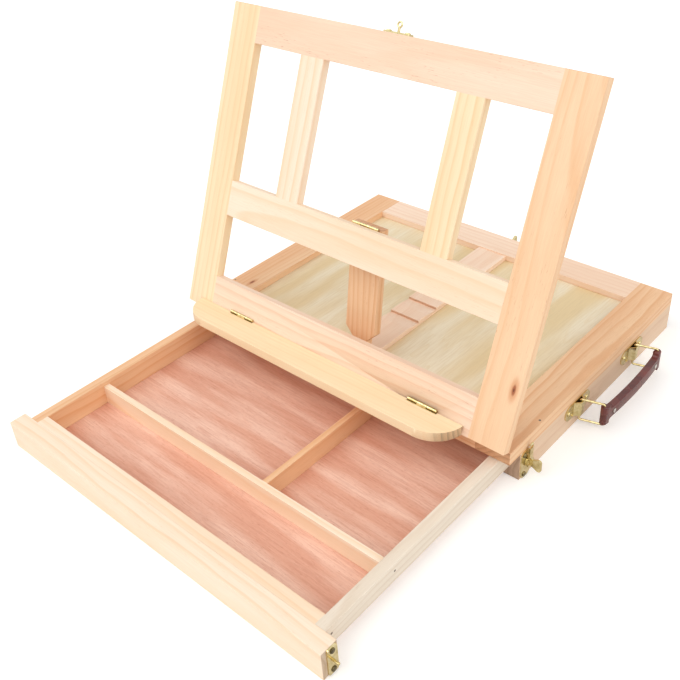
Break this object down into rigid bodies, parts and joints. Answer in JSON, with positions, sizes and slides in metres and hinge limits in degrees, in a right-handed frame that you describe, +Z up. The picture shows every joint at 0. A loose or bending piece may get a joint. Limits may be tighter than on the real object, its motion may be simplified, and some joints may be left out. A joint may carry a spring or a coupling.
{
  "type": "table box easel",
  "caption": "Pine table box easel with an open framed lid on a prop leg, a canvas ledge, a divided sliding drawer, brass latches and a carrying handle.",
  "frame": {"origin": "middle of the back wall's foot, where the case stands on the table", "axes": "+Z up, -Y towards the painter and the drawer front, +X towards the side with the carrying handle"},
  "size_m": [0.3662, 0.4771, 0.2938],
  "materials": {
    "pine": "satin",
    "panel_plywood": "satin",
    "floor_plywood": "matte",
    "brass": "polished",
    "steel": "satin",
    "grip": "gloss"
  },
  "bodies": {
    "case": {"case_wall_right": "pine", "case_wall_left": "pine", "case_back_wall": "pine", "case_rail_front": "pine", "case_rail_back": "pine", "case_rail_left": "pine", "case_rail_right": "pine", "case_panel": "panel_plywood", "prop_batten": "pine", "case_nails": "steel", "lid_hinge_case_leaves": "brass", "lid_hinge_pins": "brass", "case_hinge_screws": "brass", "handle_bracket_front": "brass", "handle_bracket_rear": "brass", "handle_screws": "brass", "drawer_latch_plate": "brass", "lid_latch_plate": "brass", "latch_screws": "brass"},
    "drawer": {"drawer_fascia": "pine", "drawer_front_wall": "pine", "drawer_side_left": "pine", "drawer_side_right": "pine", "drawer_back_wall": "pine", "drawer_floor": "floor_plywood", "drawer_cross_divider": "pine", "drawer_long_divider": "pine", "drawer_nails": "steel", "drawer_strike": "brass", "drawer_strike_screws": "brass"},
    "lid": {"lid_stile_left": "pine", "lid_stile_right": "pine", "lid_rail_top": "pine", "lid_rail_middle": "pine", "lid_rail_bottom": "pine", "lid_muntin_left": "pine", "lid_muntin_right": "pine", "lid_hinge_lid_leaves": "brass", "ledge_hinge_lid_leaves": "brass", "ledge_hinge_pins": "brass", "prop_hinge_rail_leaf": "brass", "prop_hinge_pin": "brass", "lid_hinge_screws": "brass", "lid_strike": "brass", "lid_strike_screws": "brass"},
    "ledge": {"canvas_ledge": "pine", "ledge_hinge_ledge_leaves": "brass", "ledge_screws": "brass"},
    "prop": {"prop_leg": "pine", "prop_hinge_leg_leaf": "brass", "leg_screws": "brass"},
    "drawer_lever": {"drawer_latch_lever": "brass"},
    "lid_lever": {"lid_latch_lever": "brass"},
    "ring_front": {"handle_ring_front": "brass"},
    "ring_rear": {"handle_ring_rear": "brass"},
    "grip": {"handle_grip": "grip", "handle_rivets": "brass"}
  },
  "joints": [
    {"name": "lid_hinge", "type": "hinge", "parent": "case", "child": "lid", "pos_m": [0, -0.26025, 0.03715], "axis": [1, 0, 0], "range_deg": [0, 27]},
    {"name": "ledge_fold", "type": "hinge", "parent": "lid", "child": "ledge", "pos_m": [0, -0.26536, 0.051], "axis": [-1, 0, 0], "range_deg": [0, 107]},
    {"name": "prop_fold", "type": "hinge", "parent": "lid", "child": "prop", "pos_m": [0, -0.21323, 0.14946], "axis": [1, 0, 0], "range_deg": [0, 167.3]},
    {"name": "drawer_slide", "type": "slide", "parent": "case", "child": "drawer", "axis": [0, 1, 0], "range_m": [0, 0.2015]},
    {"name": "drawer_latch", "type": "hinge", "parent": "case", "child": "drawer_lever", "pos_m": [0.17, -0.2335, 0.013], "axis": [1, 0, 0], "range_deg": [0, 90]},
    {"name": "lid_latch", "type": "hinge", "parent": "case", "child": "lid_lever", "pos_m": [0, 0.005, 0.0295], "axis": [0, 1, 0], "range_deg": [0, 180]},
    {"name": "handle_front", "type": "hinge", "parent": "case", "child": "ring_front", "pos_m": [0.17275, -0.1605, 0.01545], "axis": [0, 0, 1], "range_deg": [-75, 45]},
    {"name": "handle_rear", "type": "hinge", "parent": "case", "child": "ring_rear", "pos_m": [0.17275, -0.0695, 0.01545], "axis": [0, 0, 1], "range_deg": [-75, 45]},
    {"name": "grip_pivot", "type": "hinge", "parent": "ring_front", "child": "grip", "pos_m": [0.19107, -0.15545, 0.01545], "axis": [0, 0, 1], "range_deg": [-45, 75]}
  ],
  "couplings": [
    {"joint": "handle_rear", "follows": "handle_front", "ratio": 1},
    {"joint": "grip_pivot", "follows": "handle_front", "ratio": -1}
  ]
}
